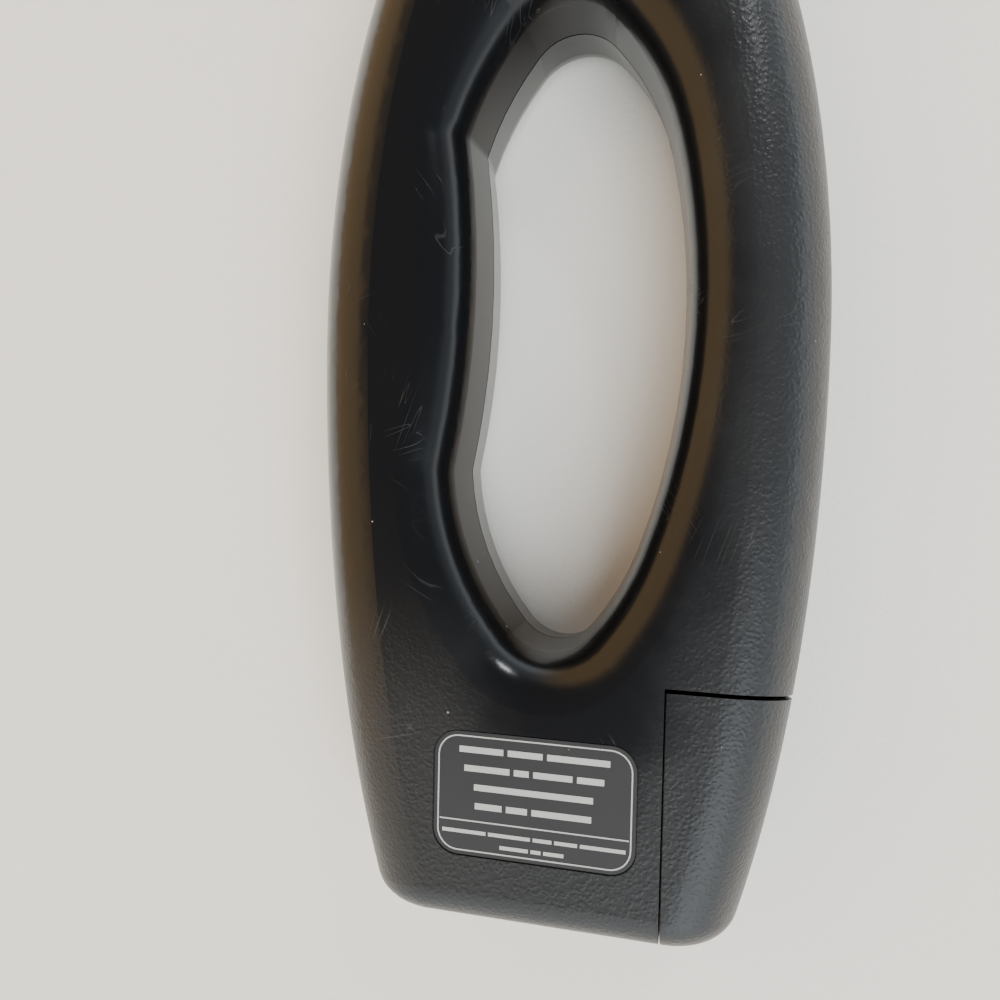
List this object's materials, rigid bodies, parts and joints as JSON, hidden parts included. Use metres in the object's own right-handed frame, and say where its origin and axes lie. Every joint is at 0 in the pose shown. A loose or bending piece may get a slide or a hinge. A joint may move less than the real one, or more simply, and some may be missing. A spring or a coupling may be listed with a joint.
{
  "type": "hand-held metal detector wand",
  "caption": "Hand-held screening wand with a finger opening in the grip end, a corner battery door, side controls and a flat search-coil paddle.",
  "frame": {"origin": "under the middle of the wand, on the plane its front face rests on", "axes": "+X across the wand, +Y along it from the grip end to the paddle tip, +Z out of the rear face, up as it lies"},
  "size_m": [0.0832, 0.42, 0.0315],
  "materials": {
    "shell_black": "injection-moulded ABS, polished by wear on the grip, fine pebble grain elsewhere",
    "battery_jacket": "printed steel jacket",
    "end_plate": "pressed fibre plate",
    "plated": "nickel plate",
    "steel": "zinc-plated steel",
    "snap_black": "soft vinyl",
    "wire_red": "vinyl insulation",
    "wire_black": "vinyl insulation",
    "foam": "open-cell foam",
    "tray_grey": "moulded ABS",
    "board_green": "solder mask on glass-fibre laminate",
    "chip_black": "moulded epoxy",
    "ferrite": "ferrite with varnish",
    "trimmer_blue": "moulded nylon",
    "connector_white": "moulded nylon",
    "capacitor_sleeve": "shrink sleeve on aluminium",
    "lens_green": "tinted epoxy",
    "lens_amber": "tinted epoxy",
    "lens_red": "tinted epoxy",
    "window_smoke": "smoked polycarbonate",
    "gasket": "closed-cell foam rubber",
    "speaker_steel": "pressed steel",
    "magnet": "sintered ferrite",
    "cone_paper": "pressed paper",
    "trim_black": "moulded nylon",
    "control_grey": "moulded ABS",
    "switch_body": "moulded nylon",
    "former_white": "moulded polystyrene",
    "winding": "enamelled copper wire",
    "shield_foil": "conductive coated film",
    "label_charcoal": "printed polyester film"
  },
  "bodies": {
    "wand": {"rear_shell": "shell_black", "front_shell": "shell_black", "case_screws": "steel", "battery_can": "battery_jacket", "battery_end_plate": "end_plate", "battery_positive_stud": "plated", "battery_negative_socket": "plated", "snap_clip": "snap_black", "snap_contacts": "plated", "battery_tray": "tray_grey", "battery_foam": "foam", "battery_lead_red": "wire_red", "battery_lead_black": "wire_black", "main_board": "board_green", "board_screws": "steel", "board_chips": "chip_black", "board_transformer": "ferrite", "sensitivity_trimmer": "trimmer_blue", "battery_connector": "connector_white", "coil_connector": "connector_white", "board_capacitors": "capacitor_sleeve", "led_green": "lens_green", "led_amber": "lens_amber", "led_red": "lens_red", "led_window": "window_smoke", "speaker_gasket": "gasket", "speaker_basket": "speaker_steel", "speaker_magnet": "magnet", "speaker_cone": "cone_paper", "speaker_lead_red": "wire_red", "speaker_lead_black": "wire_black", "switch_bezel": "trim_black", "power_switch_body": "switch_body", "button_bezel": "trim_black", "button_switch": "switch_body", "jack_socket": "trim_black", "jack_nut": "plated", "coil_former": "former_white", "coil_winding": "winding", "coil_shield": "shield_foil", "coil_lead_red": "wire_red", "coil_lead_black": "wire_black", "rear_label": "label_charcoal", "front_label": "label_charcoal"},
    "door": {"battery_door": "shell_black"},
    "slider": {"power_slider": "control_grey"},
    "button": {"test_button": "control_grey"}
  },
  "joints": [
    {"name": "door_slide", "type": "slide", "parent": "wand", "child": "door", "axis": [0, -1, 0], "range_m": [0, 0.042]},
    {"name": "power_slide", "type": "slide", "parent": "wand", "child": "slider", "axis": [-0.1392, 0.9903, 0], "range_m": [0, 0.004]},
    {"name": "button_press", "type": "slide", "parent": "wand", "child": "button", "axis": [0.9903, 0.1392, 0], "range_m": [0, 0.001], "stiffness_N_per_m": 200, "springref_m": -0.001}
  ]
}
